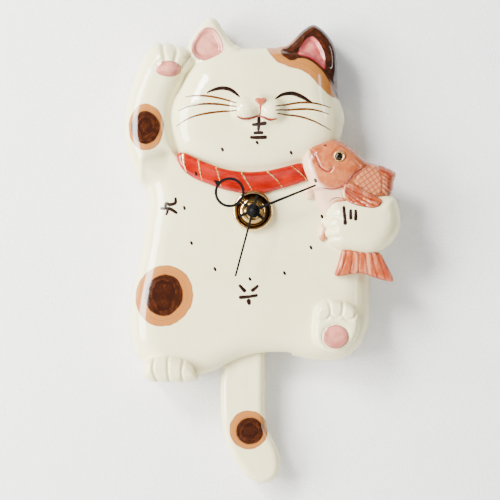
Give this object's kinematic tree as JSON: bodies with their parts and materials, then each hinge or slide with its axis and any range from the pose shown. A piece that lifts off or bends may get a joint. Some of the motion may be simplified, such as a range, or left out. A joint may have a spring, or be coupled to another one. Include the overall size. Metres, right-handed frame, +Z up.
{
  "type": "wall clock",
  "caption": "Glazed ceramic wall clock shaped as a cat that beckons with one paw and holds a fish, with hands on its chest and a tail that swings below.",
  "frame": {"origin": "flat back of the hanger bridge behind the cat's face, on the wall plane, 70 mm above the hands' axis", "axes": "+X to the right seen from the front, +Y into the wall, +Z up; the front faces -Y"},
  "size_m": [0.1911, 0.0492, 0.3244],
  "materials": {
    "ceramic_glaze": "clear gloss glaze over cream slip, faintly speckled, with painted brown and orange spots",
    "bream_glaze": "gloss glaze, salmon pink fading to white",
    "collar_glaze": "gloss red glaze with gold lines",
    "brass": "polished",
    "case_black": "fine moulded texture",
    "rubber_black": "matt",
    "hand_black": "satin black paint",
    "gear_plastic": "natural acetal",
    "magnet_steel": "nickel plated",
    "steel": "bright",
    "coil_copper": "enamelled winding",
    "board": "phenolic board",
    "battery_wrap": "plain wrapped can"
  },
  "bodies": {
    "clock_body": {"body_shell": "ceramic_glaze", "sea_bream": "bream_glaze", "sea_bream_tail": "bream_glaze", "collar_band": "collar_glaze", "bell_escutcheon": "brass", "movement_case": "case_black", "movement_back_cover": "case_black", "threaded_bush": "brass", "rubber_washer": "rubber_black", "brass_washer": "brass", "hex_nut": "brass", "stator": "steel", "coil_bobbin": "coil_copper", "gear_bridge": "case_black", "circuit_board": "board", "quartz_crystal": "steel", "battery": "battery_wrap", "contact_positive": "steel", "contact_negative": "steel", "pivot_pin": "steel", "pendulum_coil": "coil_copper"},
    "tail_pendulum": {"tail_bob": "ceramic_glaze", "tail_anchor": "brass", "pendulum_rod": "brass", "pendulum_lever": "gear_plastic", "pendulum_magnet": "magnet_steel"},
    "hour_train": {"hour_hand": "hand_black", "hour_wheel": "gear_plastic"},
    "minute_train": {"minute_hand": "hand_black", "minute_arbor": "brass"},
    "second_train": {"second_hand": "hand_black", "second_wheel": "gear_plastic"},
    "intermediate_body": {"intermediate_wheel": "gear_plastic"},
    "knob_body": {"setting_knob": "gear_plastic"},
    "centre_body": {"centre_wheel": "gear_plastic"},
    "third_body": {"third_wheel": "gear_plastic"},
    "fifth_body": {"fifth_wheel": "gear_plastic"},
    "rotor_body": {"rotor": "magnet_steel"}
  },
  "joints": [
    {"name": "tail_swing", "type": "hinge", "parent": "clock_body", "child": "tail_pendulum", "pos_m": [-0.0039, -0.0126, -0.104], "axis": [0, 1, 0], "range_deg": [-8, 8]},
    {"name": "minute_turn", "type": "hinge", "parent": "clock_body", "child": "minute_train", "pos_m": [0, -0.02, -0.07], "axis": [0, 1, 0], "continuous": true},
    {"name": "hour_turn", "type": "hinge", "parent": "clock_body", "child": "hour_train", "pos_m": [0, -0.02, -0.07], "axis": [0, 1, 0], "continuous": true},
    {"name": "second_turn", "type": "hinge", "parent": "clock_body", "child": "second_train", "pos_m": [0, -0.02, -0.07], "axis": [0, 1, 0], "continuous": true},
    {"name": "intermediate_turn", "type": "hinge", "parent": "clock_body", "child": "intermediate_body", "pos_m": [-0.00713, -0.02, -0.069], "axis": [0, 1, 0], "continuous": true},
    {"name": "knob_turn", "type": "hinge", "parent": "clock_body", "child": "knob_body", "pos_m": [-0.0141, -0.02, -0.072], "axis": [0, 1, 0], "continuous": true},
    {"name": "centre_turn", "type": "hinge", "parent": "clock_body", "child": "centre_body", "pos_m": [0, -0.02, -0.07], "axis": [0, 1, 0], "continuous": true},
    {"name": "third_turn", "type": "hinge", "parent": "clock_body", "child": "third_body", "pos_m": [0.00338, -0.02, -0.06364], "axis": [0, 1, 0], "continuous": true},
    {"name": "fifth_turn", "type": "hinge", "parent": "clock_body", "child": "fifth_body", "pos_m": [0.003, -0.02, -0.0752], "axis": [0, 1, 0], "continuous": true},
    {"name": "rotor_turn", "type": "hinge", "parent": "clock_body", "child": "rotor_body", "pos_m": [0.00808, -0.02, -0.07756], "axis": [0, 1, 0], "continuous": true}
  ],
  "couplings": [
    {"joint": "hour_turn", "follows": "minute_turn", "ratio": 0.083333},
    {"joint": "intermediate_turn", "follows": "minute_turn", "ratio": -0.33333},
    {"joint": "knob_turn", "follows": "minute_turn", "ratio": 1},
    {"joint": "third_turn", "follows": "second_turn", "ratio": -0.13333},
    {"joint": "centre_turn", "follows": "second_turn", "ratio": 0.016667},
    {"joint": "fifth_turn", "follows": "second_turn", "ratio": -5},
    {"joint": "rotor_turn", "follows": "second_turn", "ratio": 30}
  ]
}
